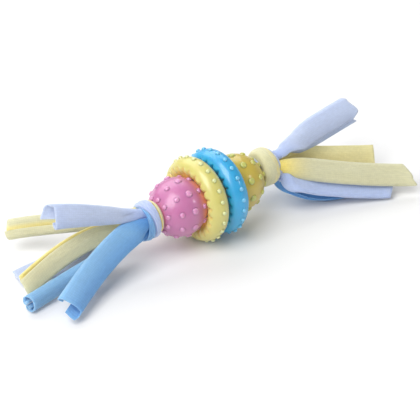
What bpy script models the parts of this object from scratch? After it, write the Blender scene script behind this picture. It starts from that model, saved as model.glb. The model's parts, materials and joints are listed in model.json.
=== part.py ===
"""Dog toy: two nubbed rubber balls, each nested in a nubbed rubber ring, threaded on a rope of jersey strips.

The rope runs along X. Outside each ball its six strands are wrapped into a knot, and beyond the knot
each strand opens into a loose tail of cloth whose edges roll in. Lengths are metres, +Z is up, and the
toy lies on z = 0 with the middle of its box over the origin. Angles round the rope start at +Y and
turn towards +Z.
"""

from collections import namedtuple
import math

import bmesh
import bpy
from mathutils import Matrix, Vector

MM = 0.001
LEFT = -1
RIGHT = 1

# Clearance between pieces that touch or turn on each other.
PIECE_GAP = 0.3 * MM
MERGE_DISTANCE = 0.0001 * MM

# Rings: an oval section swept round the rope, ribbed from the hole to near the outer face. The hole is
# smaller than the ball that nests in it, by the lap.
RING_HOLE_LAP = 2.2 * MM
RING_HALF_DEPTH = 5.5 * MM
RING_HALF_WIDTH = 6.65 * MM
RING_SPACING = 2.4 * MM
RING_RIB_HEIGHT = 0.5 * MM
RING_RIB_START = 62
RING_RIB_FADE = 24
RING_NUB_COUNT = 24
RING_NUB_RADIUS = 1.4 * MM
RING_NUB_TIP_RADIUS = 0.9 * MM
RING_NUB_HEIGHT = 1.2 * MM
RING_NUB_SIDES = 8
RING_STEPS_PER_NUB = 3
RING_SECTION_STEPS = 10
RING_SHARP_ANGLE = 60
YELLOW_RING_NUB_ANGLE = 83.8
BLUE_RING_NUB_ANGLE = 107.3

# Balls: hollowed by a bore with rounded lips, and set with rows of nubs.
BALL_RADIUS = 18.7 * MM
BALL_LIP_RADIUS = 1.5 * MM
BALL_NUB_HEIGHT = 1.2 * MM
BALL_NUB_COLUMNS = 10
BALL_MIDDLE_NUB_RADIUS = 2.2 * MM
BALL_SIDE_NUB_RADIUS = 1.75 * MM
BALL_END_NUB_RADIUS = 1.6 * MM
BALL_SIDE_ROW = 27.5
BALL_END_ROW = 54.8
NUB_TIP_SHARE = 0.72
NUB_ROOT_DEPTH = 0.9 * MM
BALL_MIDDLE_NUB_SIDES = 8
BALL_NUB_SIDES = 6
BALL_STEPS = 30
BALL_ARC_STEPS = 10
BALL_LIP_STEPS = 2
PINK_BALL_NUB_ANGLE = 90.9
YELLOW_BALL_NUB_ANGLE = 79.2

# Rope core: six strands that turn gently from one knot to the other.
STRAND_RADIUS = 1.8 * MM
STRAND_SPACING = 0.3 * MM
STRAND_START_ANGLE = 160
STRAND_TWIST = 110
STRAND_POINTS = 9

# Knots: three wraps of cloth each, side by side along the rope.
LEFT_KNOT_RADIUS = 12.3 * MM
LEFT_KNOT_LENGTH = 10.6 * MM
RIGHT_KNOT_RADIUS = 12.6 * MM
RIGHT_KNOT_LENGTH = 13.4 * MM
KNOT_FACE_SHARE = 0.74
KNOT_LUMP_SHARE = 0.06
LEFT_KNOT_LEAN_SHARE = 0.0
RIGHT_KNOT_LEAN_SHARE = 0.2
KNOT_LEAN_ANGLE = 64
WRAP_SQUARENESS = 0.62
WRAP_STEPS = 20
WRAP_SECTION_STEPS = 8
WRAP_SHARP_ANGLE = 80

# Tails: strips of cloth, measured from the root of each at the face of its knot.
TAIL_REACH = 85.0 * MM
TAIL_SPREAD = 62.0 * MM
STRIP_WIDTH = 33.0 * MM
CLOTH_THICKNESS = 1.2 * MM
TAIL_ROOT_SPACING = 0.8 * MM
TAIL_PIVOT_GAP = 0.4 * MM
TAIL_ROOT_CIRCLE_SHARE = 4 / 3
TAIL_ROOT_CROWN = 48
TAIL_OPEN_SHARE = 0.6
TAIL_CURL_START_SHARE = 0.08
TAIL_CURL_RUN_SHARE = 0.5
TAIL_ROWS = 9
TAIL_COLUMNS = 11

COLOURS = {
    "pink_rubber": ("E59CCB", 0.35),
    "mustard_rubber": ("CDBD5E", 0.4),
    "yellow_rubber": ("E6DC86", 0.35),
    "blue_rubber": ("48B4E6", 0.3),
    "yellow_jersey": ("DEDAAC", 0.95),
    "lavender_jersey": ("B0C0E4", 0.95),
    "blue_jersey": ("74AEDF", 0.95),
}

# One strand of the rope, named with the tails that it opens into.
STRANDS = ("blue_1", "blue_2", "yellow_1", "lavender_1", "yellow_2", "lavender_2")

# Each wrap lies between two edges of its knot. An edge is (mean share, tilt share, tilt angle): where
# it lies along the knot, how far it leans to either side of that, and towards which angle it leans out.
Wrap = namedtuple("Wrap", "name cloth inner_edge_shares outer_edge_shares")
LEFT_WRAPS = (
    Wrap("knot_left_inner_wrap", "yellow", (0, 0, 0), (0.20, 0.09, 120)),
    Wrap("knot_left_main_wrap", "lavender", (0.20, 0.09, 120), (0.70, 0.22, 55)),
    Wrap("knot_left_cross_wrap", "blue", (0.70, 0.22, 55), (1, 0, 0)),
)
RIGHT_WRAPS = (
    Wrap("knot_right_inner_wrap", "lavender", (0, 0, 0), (0.16, 0.08, 60)),
    Wrap("knot_right_main_wrap", "yellow", (0.16, 0.08, 60), (0.76, 0.06, 200)),
    Wrap("knot_right_collar_wrap", "lavender", (0.76, 0.06, 200), (1, 0, 0)),
)

# A tail's route is a curve through its root with three more control points. Each point is (reach,
# side, rise): shares of the tails' reach, of their spread, and of the rope's height over the floor.
# Its width is the share of the strip's width that isn't rolled in. Tip turn is the bank of the cloth
# at the tip, crown its cross curve, and each curl (angle, share of the width) the roll of one edge.
Tail = namedtuple("Tail", "side strand route_shares width_share tip_turn crown curl_shares swing")
TAILS = (
    Tail(LEFT, 0, ((0.15, -0.14, -0.01), (0.30, 0.03, -0.44), (0.86, -0.38, -0.70)),
         0.85, 46, 40, ((140, 0.28), (120, 0.25)), 190),
    Tail(LEFT, 1, ((0.18, -0.07, -0.34), (0.49, 0.11, -0.80), (1.00, -0.05, -0.77)),
         0.76, 62, 60, ((190, 0.35), (190, 0.35)), -90),
    Tail(LEFT, 2, ((0.18, 0.01, -0.20), (0.36, 0.35, -0.35), (0.96, 0.15, -0.62)),
         0.76, 150, 90, ((80, 0.30), (70, 0.30)), 62),
    Tail(LEFT, 3, ((0.16, 0.17, -0.34), (0.45, 0.55, -0.99), (0.85, 0.42, -0.93)),
         0.39, -172, 12, ((30, 0.30), (40, 0.30)), 0),
    Tail(LEFT, 4, ((0.13, 0.13, 0.17), (0.43, 0.70, -0.14), (0.67, 1.00, -0.42)),
         0.64, -118, 60, ((150, 0.30), (120, 0.30)), 30),
    Tail(LEFT, 5, ((0.15, -0.02, 0.35), (0.42, 0.12, 0.59), (0.65, 0.25, 0.63)),
         1.00, 58, 40, ((150, 0.30), (170, 0.33)), 95),
    Tail(RIGHT, 0, ((0.10, -0.08, -0.42), (0.17, -0.17, -0.97), (0.68, -0.33, -0.94)),
         0.61, 180, 12, ((30, 0.25), (30, 0.25)), -90),
    Tail(RIGHT, 1, ((0.12, 0.11, -0.30), (0.58, 0.18, -0.92), (0.85, -0.03, -0.88)),
         0.61, 168, 20, ((60, 0.25), (60, 0.25)), -8),
    Tail(RIGHT, 2, ((0.10, 0.05, 0.10), (0.58, -0.08, -0.31), (0.89, -0.24, -0.42)),
         0.58, 128, 40, ((90, 0.25), (90, 0.25)), 20),
    Tail(RIGHT, 3, ((0.10, -0.03, 0.38), (0.45, 0.04, 0.45), (0.85, 0.11, 0.49)),
         0.88, -60, 40, ((150, 0.30), (150, 0.25)), 90),
    Tail(RIGHT, 4, ((0.11, -0.13, 0.13), (0.52, -0.42, -0.30), (0.95, -0.69, -0.52)),
         0.73, -50, 30, ((120, 0.28), (120, 0.28)), 160),
    Tail(RIGHT, 5, ((0.08, -0.11, -0.23), (0.41, -0.28, -0.77), (0.85, -0.60, -0.87)),
         0.58, -172, 20, ((70, 0.20), (60, 0.20)), 182),
)

# Round pieces are made about local Z. This turn lays that axis along the rope.
ROPE_TURN = (math.pi / 2, 0, math.pi / 2)
SEARCH_STEPS = 40
OUTLINE_STEPS = 360


def smooth(value):
    """Ease from 0 to 1 as the value does."""
    value = min(max(value, 0), 1)
    return value * value * (3 - 2 * value)


def signed_power(value, power):
    return math.copysign(abs(value) ** power, value)


def polar(radius, angle):
    """The place in the YZ plane at an angle in degrees round the rope."""
    turn = math.radians(angle)
    return Vector((0, radius * math.cos(turn), radius * math.sin(turn)))


def strand_circle():
    """Radius of the circle that the strands' middles lie on, side by side."""
    return (STRAND_RADIUS + STRAND_SPACING / 2) / math.sin(math.pi / len(STRANDS))


def bundle_radius():
    return strand_circle() + STRAND_RADIUS


def bore_radius():
    return bundle_radius() + PIECE_GAP


def ring_centre_radius():
    """Radius of the circle that a ring's section is swept along."""
    return BALL_RADIUS - RING_HOLE_LAP + RING_HALF_DEPTH


def rope_height():
    """Height of the rope's axis over the floor, on which a ring's nub stands."""
    return ring_centre_radius() + RING_HALF_DEPTH + RING_NUB_HEIGHT


def ring_place():
    """Distance of each ring's middle plane from the toy's middle."""
    return RING_HALF_WIDTH + RING_SPACING / 2


def ring_section(angle, crest):
    """Radial and axial place on a ring's section, at an angle from its outer face."""
    off_face = abs(math.degrees(math.remainder(angle, math.tau)))
    rib = RING_RIB_HEIGHT * crest * smooth((off_face - RING_RIB_START) / RING_RIB_FADE)
    radial = ring_centre_radius() + (RING_HALF_DEPTH + rib) * math.cos(angle)
    axial = (RING_HALF_WIDTH + rib) * math.sin(angle)
    return radial, axial


def ball_nub_rows():
    """Each row of nubs: its angle from the ball's middle row, and a nub's radius and number of sides."""
    return ((0, BALL_MIDDLE_NUB_RADIUS, BALL_MIDDLE_NUB_SIDES),
            (BALL_SIDE_ROW, BALL_SIDE_NUB_RADIUS, BALL_NUB_SIDES),
            (BALL_END_ROW, BALL_END_NUB_RADIUS, BALL_NUB_SIDES))


def ball_reach(latitude):
    """Radius of the space that a turning ball sweeps, at an angle in degrees from its middle row."""
    for row, radius, _ in ball_nub_rows():
        if abs(abs(latitude) - row) < math.degrees((radius + PIECE_GAP) / BALL_RADIUS):
            return BALL_RADIUS + BALL_NUB_HEIGHT
    return BALL_RADIUS


def ring_clears(offset):
    """Whether a ring whose middle plane is offset from a ball's middle clears the ball as both turn."""
    for step in range(OUTLINE_STEPS):
        radial, axial = ring_section(math.tau * step / OUTLINE_STEPS, 1)
        latitude = math.degrees(math.atan2(offset - axial, radial))
        if math.hypot(radial, offset - axial) < ball_reach(latitude) + PIECE_GAP:
            return False
    return True


def seat_offset():
    """Distance from a ring's middle plane to its ball's middle, where the ring just clears the ball."""
    low, high = 0, ring_centre_radius() + BALL_RADIUS
    for _ in range(SEARCH_STEPS):
        middle = (low + high) / 2
        if ring_clears(middle):
            high = middle
        else:
            low = middle
    return high


def ball_place():
    """Distance of each ball's middle from the toy's middle."""
    return ring_place() + seat_offset()


def lip_centre():
    """Radial and axial place of the middle of the fillet between a ball and its bore."""
    radial = bore_radius() + BALL_LIP_RADIUS
    return radial, math.sqrt((BALL_RADIUS - BALL_LIP_RADIUS) ** 2 - radial ** 2)


def ball_half_width():
    """Half of a ball's extent along the rope, the end row of nubs included."""
    row = math.radians(BALL_END_ROW)
    nub = (BALL_RADIUS + BALL_NUB_HEIGHT) * math.sin(row)
    nub += BALL_END_NUB_RADIUS * NUB_TIP_SHARE * math.cos(row)
    return max(nub, lip_centre()[1] + BALL_LIP_RADIUS)


def knot_start():
    """Distance from the toy's middle to the inner face of each knot."""
    return ball_place() + ball_half_width() + PIECE_GAP


def tail_start(side):
    """Distance from the toy's middle to the roots of one side's tails."""
    length = LEFT_KNOT_LENGTH if side == LEFT else RIGHT_KNOT_LENGTH
    return knot_start() + length + PIECE_GAP + CLOTH_THICKNESS / 2


def linear(channel):
    """A screen value from 0 to 255 as linear light."""
    value = channel / 255
    return value / 12.92 if value <= 0.04045 else ((value + 0.055) / 1.055) ** 2.4


def make_material(name):
    colour, roughness = COLOURS[name]
    material = bpy.data.materials.new(name)
    material.use_nodes = True
    shader = material.node_tree.nodes["Principled BSDF"]
    rgb = [linear(channel) for channel in bytes.fromhex(colour)]
    shader.inputs["Base Color"].default_value = (*rgb, 1)
    shader.inputs["Roughness"].default_value = roughness
    shader.inputs["Metallic"].default_value = 0
    return material


def material_named(name):
    return bpy.data.materials.get(name) or make_material(name)


def clear_scene():
    for obj in list(bpy.data.objects):
        bpy.data.objects.remove(obj, do_unlink=True)


def new_collection(name):
    collection = bpy.data.collections.new(name)
    bpy.context.scene.collection.children.link(collection)
    return collection


def add_object(name, data, material, frame, place):
    """Put a mesh or curve in the toy's collection, under its frame."""
    obj = bpy.data.objects.new(name, data)
    obj.parent = frame
    obj.location = place
    data.materials.append(material_named(material))
    frame.users_collection[0].objects.link(obj)
    return obj


def mesh_from(name, bm):
    mesh = bpy.data.meshes.new(name)
    bm.to_mesh(mesh)
    bm.free()
    return mesh


def shade_round(mesh, sharp_angle):
    mesh.shade_smooth()
    mesh.set_sharp_from_angle(angle=math.radians(sharp_angle))


def looped_mesh(name, around_steps, section_steps, place):
    """A torus whose vertices are moved to place(angle round it, angle of section) as (radial, axial)."""
    bpy.ops.mesh.primitive_torus_add(major_segments=around_steps, minor_segments=section_steps,
                                     major_radius=ring_centre_radius(), minor_radius=RING_HALF_DEPTH)
    torus = bpy.context.object
    mesh = torus.data
    mesh.name = name
    for vertex in mesh.vertices:
        around = math.atan2(vertex.co.y, vertex.co.x)
        section = math.atan2(vertex.co.z, math.hypot(vertex.co.x, vertex.co.y) - ring_centre_radius())
        radial, axial = place(around, section)
        vertex.co = (radial * math.cos(around), radial * math.sin(around), axial)
    bpy.data.objects.remove(torus)
    return mesh


def add_nub(bm, surface, direction, radius, tip_radius, height, sides):
    """A tapered stud rooted in the rubber, its flat tip facing along direction from surface."""
    slope = (radius - tip_radius) / height
    turn = direction.to_track_quat("Z", "Y").to_matrix().to_4x4()
    middle = surface + direction * ((height - NUB_ROOT_DEPTH) / 2)
    bmesh.ops.create_cone(bm, cap_ends=True, segments=sides, radius1=radius + slope * NUB_ROOT_DEPTH,
                          radius2=tip_radius, depth=height + NUB_ROOT_DEPTH,
                          matrix=Matrix.Translation(middle) @ turn)


def join_nubs(obj, bm, cutters):
    """Fuse studs, made in the object's own frame, with the object."""
    nubs = bpy.data.objects.new(obj.name + "_nubs", mesh_from(obj.name + "_nubs", bm))
    nubs.parent = obj
    nubs.hide_render = True
    nubs.display_type = "WIRE"
    cutters.objects.link(nubs)
    union = obj.modifiers.new("Nubs", "BOOLEAN")
    union.operation = "UNION"
    union.solver = "EXACT"
    union.object = nubs


def make_ring(name, side, material, nub_angle, frame, cutters):
    """A ribbed oval ring with a row of studs round its outer face, the first at nub_angle."""
    first = math.radians(nub_angle)

    def place(around, section):
        crest = (1 + math.cos(RING_NUB_COUNT * (around - first))) / 2
        return ring_section(section, crest)

    mesh = looped_mesh(name, RING_NUB_COUNT * RING_STEPS_PER_NUB, RING_SECTION_STEPS, place)
    bm = bmesh.new()
    for nub in range(RING_NUB_COUNT):
        angle = math.tau * nub / RING_NUB_COUNT + first
        direction = Vector((math.cos(angle), math.sin(angle), 0))
        surface = direction * (ring_centre_radius() + RING_HALF_DEPTH)
        add_nub(bm, surface, direction, RING_NUB_RADIUS, RING_NUB_TIP_RADIUS, RING_NUB_HEIGHT,
                RING_NUB_SIDES)
    shade_round(mesh, RING_SHARP_ANGLE)
    ring = add_object(name, mesh, material, frame, (side * ring_place(), 0, 0))
    ring.rotation_euler = ROPE_TURN
    join_nubs(ring, bm, cutters)


def ball_profile():
    """A ball's section beside the rope, as (radius, height) from the top of the bore down the outside."""
    lip_radial, lip_axial = lip_centre()
    edge = math.atan2(lip_axial, lip_radial)
    points = []
    for step in range(BALL_LIP_STEPS):
        angle = math.pi + (edge - math.pi) * step / BALL_LIP_STEPS
        points.append((lip_radial + BALL_LIP_RADIUS * math.cos(angle),
                       lip_axial + BALL_LIP_RADIUS * math.sin(angle)))
    for step in range(BALL_ARC_STEPS + 1):
        angle = edge - 2 * edge * step / BALL_ARC_STEPS
        points.append((BALL_RADIUS * math.cos(angle), BALL_RADIUS * math.sin(angle)))
    points += [(radius, -height) for radius, height in reversed(points[:BALL_LIP_STEPS])]
    return points


def make_ball(name, side, material, nub_angle, frame, cutters):
    """A ball turned round its bore, with five rows of studs."""
    points = ball_profile()
    mesh = bpy.data.meshes.new(name)
    edges = [(index, (index + 1) % len(points)) for index in range(len(points))]
    mesh.from_pydata([(radius, 0, height) for radius, height in points], edges, [])
    ball = add_object(name, mesh, material, frame, (side * ball_place(), 0, 0))
    ball.rotation_euler = ROPE_TURN
    screw = ball.modifiers.new("Turn", "SCREW")
    screw.steps = BALL_STEPS
    screw.render_steps = BALL_STEPS
    screw.use_merge_vertices = True
    screw.merge_threshold = MERGE_DISTANCE
    screw.use_smooth_shade = True

    bm = bmesh.new()
    for row, radius, sides in ball_nub_rows():
        for height in {row, -row}:
            for column in range(BALL_NUB_COLUMNS):
                angle = math.radians(nub_angle + 360 * column / BALL_NUB_COLUMNS)
                lift = math.radians(height)
                direction = Vector((math.cos(lift) * math.cos(angle), math.cos(lift) * math.sin(angle),
                                    math.sin(lift)))
                add_nub(bm, direction * BALL_RADIUS, direction, radius, radius * NUB_TIP_SHARE,
                        BALL_NUB_HEIGHT, sides)
    join_nubs(ball, bm, cutters)


def make_strand(name, start_angle, frame):
    """One strand of the core, turning with its neighbours from the left tails to the right ones."""
    curve = bpy.data.curves.new(name, "CURVE")
    curve.dimensions = "3D"
    curve.bevel_depth = STRAND_RADIUS
    curve.bevel_resolution = 2
    curve.use_fill_caps = True
    spline = curve.splines.new("POLY")
    spline.points.add(STRAND_POINTS - 1)
    left_end = CLOTH_THICKNESS / 2 + PIECE_GAP - tail_start(LEFT)
    right_end = tail_start(RIGHT) - CLOTH_THICKNESS / 2 - PIECE_GAP
    for step, point in enumerate(spline.points):
        share = step / (STRAND_POINTS - 1)
        place = polar(strand_circle(), start_angle + STRAND_TWIST * share)
        place.x = left_end + (right_end - left_end) * share
        point.co = (*place, 1)
    cloth = name.split("_")[1]
    add_object(name, curve, cloth + "_jersey", frame, (0, 0, 0))


def make_wrap(wrap, side, knot_radius, knot_length, lean_share, frame):
    """One wrap of a knot: a crowned band round the strands between two tilted edges."""
    half_gap = PIECE_GAP / knot_length / 2

    def edge_place(edge, around):
        mean, tilt, angle = edge
        return mean + tilt * math.cos(around - math.radians(angle))

    def place(around, section):
        inner = edge_place(wrap.inner_edge_shares, around)
        outer = edge_place(wrap.outer_edge_shares, around)
        inner += half_gap if wrap.inner_edge_shares[0] > 0 else 0
        outer -= half_gap if wrap.outer_edge_shares[0] < 1 else 0
        across = signed_power(math.sin(section), WRAP_SQUARENESS)
        along = (inner + outer) / 2 + side * across * (outer - inner) / 2
        bulge = math.sqrt(max(0, 1 - (2 * along - 1) ** 2))
        lump = 1 - KNOT_LUMP_SHARE * (1 + math.cos(2 * around)) / 2
        lean = 1 + lean_share * math.cos(around - math.radians(KNOT_LEAN_ANGLE))
        crown = knot_radius * lump * lean * (KNOT_FACE_SHARE + (1 - KNOT_FACE_SHARE) * bulge)
        rise = (1 + signed_power(math.cos(section), WRAP_SQUARENESS)) / 2
        radial = bore_radius() + (crown - bore_radius()) * rise
        return radial, side * along * knot_length

    mesh = looped_mesh(wrap.name, WRAP_STEPS, WRAP_SECTION_STEPS, place)
    shade_round(mesh, WRAP_SHARP_ANGLE)
    band = add_object(wrap.name, mesh, wrap.cloth + "_jersey", frame, (side * knot_start(), 0, 0))
    band.rotation_euler = ROPE_TURN


def cloth_section(width, crown, curls):
    """A strip's cross section as (across, out) points: crowned, its edges rolled in by the curls."""
    (left_curl, left_share), (right_curl, right_share) = curls
    step = width / (TAIL_COLUMNS - 1)
    across, out = 0, 0
    points = [(across, out)]
    for column in range(TAIL_COLUMNS - 1):
        share = (column + 0.5) / (TAIL_COLUMNS - 1)
        bend = crown * (share - 0.5)
        bend += right_curl * min(max((share + right_share - 1) / right_share, 0), 1)
        bend -= left_curl * min(max((left_share - share) / left_share, 0), 1)
        across += step * math.cos(math.radians(bend))
        out -= step * math.sin(math.radians(bend))
        points.append((across, out))
    middle = [(min(values) + max(values)) / 2 for values in zip(*points)]
    return [(across - middle[0], out - middle[1]) for across, out in points]


def tail_route(tail, root):
    """The four control points of a tail's curve."""
    points = [root]
    for reach, spread, rise in tail.route_shares:
        place = tail.side * (tail_start(tail.side) + reach * TAIL_REACH)
        points.append(Vector((place, spread * TAIL_SPREAD, rise * rope_height())))
    return points


def curve_at(points, share):
    """Place and direction on a cubic Bezier curve."""
    rest = 1 - share
    start, first, second, end = points
    place = rest ** 3 * start + 3 * rest ** 2 * share * first
    place += 3 * rest * share ** 2 * second + share ** 3 * end
    heading = rest ** 2 * (first - start) + 2 * rest * share * (second - first)
    heading += share ** 2 * (end - second)
    return place, heading.normalized()


def make_tail(tail, frame):
    """A strip of cloth that opens out along its route, hinged where it leaves the knot."""
    strand = STRANDS[tail.strand]
    name = "tail_{}_{}".format("left" if tail.side == LEFT else "right", strand)
    root_angle = STRAND_START_ANGLE + 360 * tail.strand / len(STRANDS)
    root_angle += STRAND_TWIST if tail.side == RIGHT else 0
    root_circle = strand_circle() * TAIL_ROOT_CIRCLE_SHARE
    root_width = root_circle - TAIL_ROOT_SPACING
    root = polar(root_circle, root_angle)
    root.x = tail.side * tail_start(tail.side)
    pivot = root + polar(root_width / 2 + TAIL_PIVOT_GAP, tail.swing)

    points = tail_route(tail, root)
    width = STRIP_WIDTH * tail.width_share
    root_turn = 90 - root_angle if tail.side == RIGHT else root_angle - 90
    turn_change = math.degrees(math.remainder(math.radians(tail.tip_turn - root_turn), math.tau))

    bm = bmesh.new()
    bmesh.ops.create_grid(bm, x_segments=TAIL_ROWS - 1, y_segments=TAIL_COLUMNS - 1, size=0.5)
    for vertex in bm.verts:
        share = vertex.co.x + 0.5
        column = round((vertex.co.y + 0.5) * (TAIL_COLUMNS - 1))
        place, heading = curve_at(points, share)
        sideways = heading.cross(Vector((0, 0, 1))).normalized()
        upright = sideways.cross(heading)
        turn = math.radians(root_turn + turn_change * smooth(share / TAIL_OPEN_SHARE))
        across_way = sideways * math.cos(turn) + upright * math.sin(turn)
        out_way = upright * math.cos(turn) - sideways * math.sin(turn)
        rolled = smooth((share - TAIL_CURL_START_SHARE) / TAIL_CURL_RUN_SHARE)
        open_width = root_width + (width - root_width) * smooth(share / TAIL_OPEN_SHARE)
        crown = TAIL_ROOT_CROWN + (tail.crown - TAIL_ROOT_CROWN) * rolled
        curls = [(angle * rolled, part) for angle, part in tail.curl_shares]
        across, out = cloth_section(open_width, crown, curls)[column]
        vertex.co = place + across_way * across + out_way * out - pivot
    mesh = mesh_from(name, bm)
    mesh.shade_smooth()
    strip = add_object(name, mesh, strand.split("_")[0] + "_jersey", frame, pivot)
    solid = strip.modifiers.new("Cloth", "SOLIDIFY")
    solid.thickness = CLOTH_THICKNESS
    solid.offset = 0


def make_rope(frame):
    for index, strand in enumerate(STRANDS):
        make_strand("strand_" + strand, STRAND_START_ANGLE + 360 * index / len(STRANDS), frame)
    for wrap in LEFT_WRAPS:
        make_wrap(wrap, LEFT, LEFT_KNOT_RADIUS, LEFT_KNOT_LENGTH, LEFT_KNOT_LEAN_SHARE, frame)
    for wrap in RIGHT_WRAPS:
        make_wrap(wrap, RIGHT, RIGHT_KNOT_RADIUS, RIGHT_KNOT_LENGTH, RIGHT_KNOT_LEAN_SHARE, frame)
    for tail in TAILS:
        make_tail(tail, frame)


def stand_on_floor(frame, pieces):
    """Move the frame so that the middle of the toy's underside is the origin."""
    bpy.context.view_layer.update()
    depsgraph = bpy.context.evaluated_depsgraph_get()
    corners = []
    for piece in pieces:
        shown = piece.evaluated_get(depsgraph)
        mesh = shown.to_mesh()
        corners += [piece.matrix_world @ vertex.co for vertex in mesh.vertices]
        shown.to_mesh_clear()
    low = [min(corner[axis] for corner in corners) for axis in range(3)]
    high = [max(corner[axis] for corner in corners) for axis in range(3)]
    frame.location = (-(low[0] + high[0]) / 2, -(low[1] + high[1]) / 2, -low[2])


def main():
    clear_scene()
    toy = new_collection("rubber_ball_rope_toy")
    cutters = new_collection("nub_cutters")
    frame = bpy.data.objects.new("toy_frame", None)
    toy.objects.link(frame)

    make_ball("pink_ball", LEFT, "pink_rubber", PINK_BALL_NUB_ANGLE, frame, cutters)
    make_ball("yellow_ball", RIGHT, "mustard_rubber", YELLOW_BALL_NUB_ANGLE, frame, cutters)
    make_ring("yellow_ring", LEFT, "yellow_rubber", YELLOW_RING_NUB_ANGLE, frame, cutters)
    make_ring("blue_ring", RIGHT, "blue_rubber", BLUE_RING_NUB_ANGLE, frame, cutters)
    make_rope(frame)
    stand_on_floor(frame, [obj for obj in toy.objects if obj.type in {"MESH", "CURVE"}])
    bpy.context.view_layer.update()


main()
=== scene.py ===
"""Looks of the rubber ball rope toy: moulded rubber balls and rings on a rope of jersey strips.

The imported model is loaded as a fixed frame. Each operator dresses one group of like pieces over its
solids, and one sets the floor, the lights and the camera. Angles round the rope are in degrees, start
at +Y, which is the back, and turn towards +Z.
"""
from collections import namedtuple
import json
import math

import bmesh
import bpy
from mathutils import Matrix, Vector, noise


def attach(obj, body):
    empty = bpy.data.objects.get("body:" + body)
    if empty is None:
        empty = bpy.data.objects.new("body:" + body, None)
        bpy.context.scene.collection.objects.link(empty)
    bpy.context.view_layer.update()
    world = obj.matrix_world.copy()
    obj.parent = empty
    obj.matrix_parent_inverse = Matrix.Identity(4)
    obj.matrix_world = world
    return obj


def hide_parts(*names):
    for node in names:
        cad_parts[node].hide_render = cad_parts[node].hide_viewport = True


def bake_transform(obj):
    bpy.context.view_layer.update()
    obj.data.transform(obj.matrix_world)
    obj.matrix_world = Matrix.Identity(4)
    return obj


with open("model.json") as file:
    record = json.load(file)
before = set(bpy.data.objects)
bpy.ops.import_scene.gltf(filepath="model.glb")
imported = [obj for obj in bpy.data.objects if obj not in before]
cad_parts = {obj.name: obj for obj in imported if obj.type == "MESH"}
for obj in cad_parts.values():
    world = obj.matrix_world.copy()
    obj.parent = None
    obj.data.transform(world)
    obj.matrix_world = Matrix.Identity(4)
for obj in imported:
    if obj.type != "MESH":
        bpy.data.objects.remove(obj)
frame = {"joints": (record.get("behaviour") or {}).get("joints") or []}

bl_info = {
    "name": "Rubber ball rope toy",
    "version": (1, 0, 0),
    "blender": (4, 5, 0),
    "location": "View3D > Sidebar > Rope toy",
    "description": "Moulded rubber balls and rings on a knotted rope of jersey strips",
    "category": "Add Mesh",
}

MM = 0.001
LEFT = -1
RIGHT = 1

PIVOTS = {joint["name"]: Vector(joint["pos_m"]) for joint in frame["joints"]}
# The middle of the toy, on the rope's axis.
MIDDLE = (PIVOTS["yellow_ring_spin"] + PIVOTS["blue_ring_spin"]) / 2

# A rubber piece's solid, the angle of its first nub, and the side of the toy that it is on.
RubberPiece = namedtuple("RubberPiece", "node nub_angle side")
BALLS = (RubberPiece("pink_ball", 90.9, LEFT), RubberPiece("yellow_ball", 79.2, RIGHT))
RINGS = (RubberPiece("yellow_ring", 83.8, LEFT), RubberPiece("blue_ring", 107.3, RIGHT))

# Rows of nubs on a ball: angle from its middle row, and a nub's radius.
BALL_NUB_ROWS = ((0, 2.2), (27.5, 1.75), (-27.5, 1.75), (54.8, 1.6), (-54.8, 1.6))
BALL_NUB_COLUMNS = 10
BALL_STEPS = 128
BALL_OUTLINE_STEPS = 48
BALL_LIP_STEPS = 6
# Painted light: a ball's side next to its ring is painted with a tint and a faint glow, as light through
# the ring would give, between these distances from its middle, in millimetres.
BALL_PAINTED_LIGHT_RISE = (4, 11)

RING_NUB_COUNT = 24
RING_STEPS = 18 * RING_NUB_COUNT
RING_SECTION_STEPS = 60
# Round-tipped ribs with narrow grooves between them go round a ring's hole. The ribs' inner ends swell
# towards the ball, the grooves by a share of that. A rise is a range of degrees round the ring's
# section, from its outermost place. Depths and heights are in millimetres.
RIB_RISE = (68, 86)
RIB_CREST_POWER = 0.28
GROOVE_DEPTH = 1.0
# Shares of painted shade and glow in the grooves and inside the hole, and the rise of the hole's.
GROOVE_PAINTED_LIGHT = 0.6
HOLE_PAINTED_LIGHT = 0.9
HOLE_PAINTED_LIGHT_RISE = (120, 150)
SWELL_HEIGHT = 2.0
SWELL_RISE = (132, 154)
GROOVE_SWELL = 0.4

# Profile of a moulded nub, as shares of its radius and height, from its tip down to a fillet.
NUB_PROFILE = ((0.35, 0.97), (0.6, 0.9), (0.78, 0.78), (0.9, 0.58), (0.98, 0.32), (1.05, 0.06),
               (1.1, -0.2))
NUB_SIDES = 20
# Shares of its height where a nub is painted paler, as light through its thin rubber would look.
NUB_PAINTED_LIGHT_RISE = (-0.2, 0.7)

# Strands of the rope, each named with the tails that it opens into.
STRANDS = ("blue_1", "blue_2", "yellow_1", "lavender_1", "yellow_2", "lavender_2")
STRAND_START_ANGLE = 160
STRAND_TWIST = 110
STRAND_ROWS = 90
STRAND_COLUMNS = 24
# The rolled edge that winds round a strand: depth in millimetres, width and winding in radians.
STRAND_GROOVE_DEPTH = 0.25
STRAND_GROOVE_WIDTH = 0.35
STRAND_GROOVE_WINDING = 9
# Millimetres between the knots, or the strands' ends, and the roots of the tails.
ROOT_GAP = 0.9

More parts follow.
